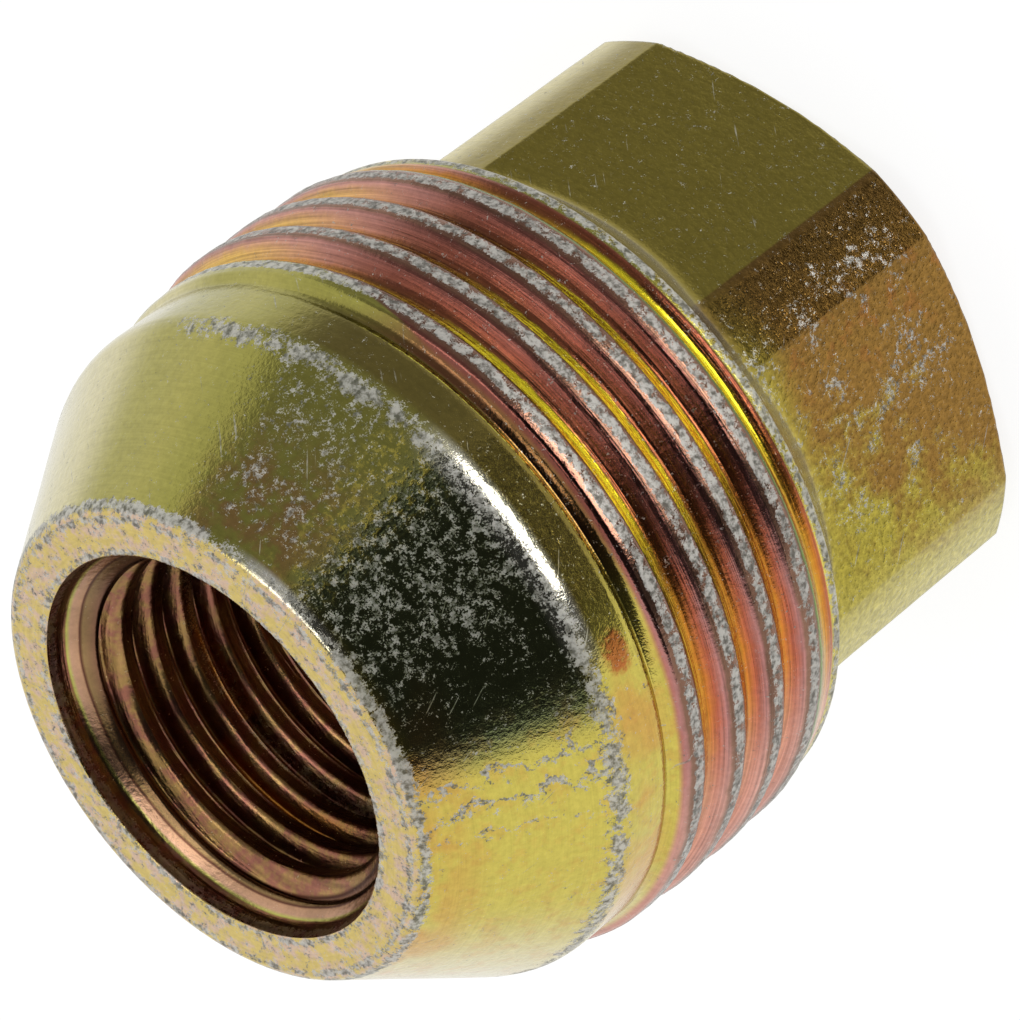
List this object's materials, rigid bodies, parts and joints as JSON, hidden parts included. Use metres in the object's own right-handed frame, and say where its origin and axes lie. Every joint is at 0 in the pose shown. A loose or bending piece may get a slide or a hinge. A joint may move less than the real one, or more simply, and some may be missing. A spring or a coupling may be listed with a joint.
{
  "type": "lug nut",
  "caption": "Open lug nut of plated steel with a conical seat, turned ridges round the head, a hexagonal drive and a through bore for a wheel stud.",
  "frame": {"origin": "centre of the flat face at the hexagonal end, on the nut's axis", "axes": "+Z along the bore's axis, from the hexagonal end towards the conical seat; +X through the middle of one wrench flat"},
  "size_m": [0.0268, 0.0268, 0.0288],
  "materials": {
    "yellow_zinc_plating": "yellow zinc plating, softly glossy, olive to gold with red-brown grooves, scuffed to grey on the crests and the shoulder"
  },
  "bodies": {
    "root": {"lug_nut": "yellow_zinc_plating"}
  },
  "joints": []
}
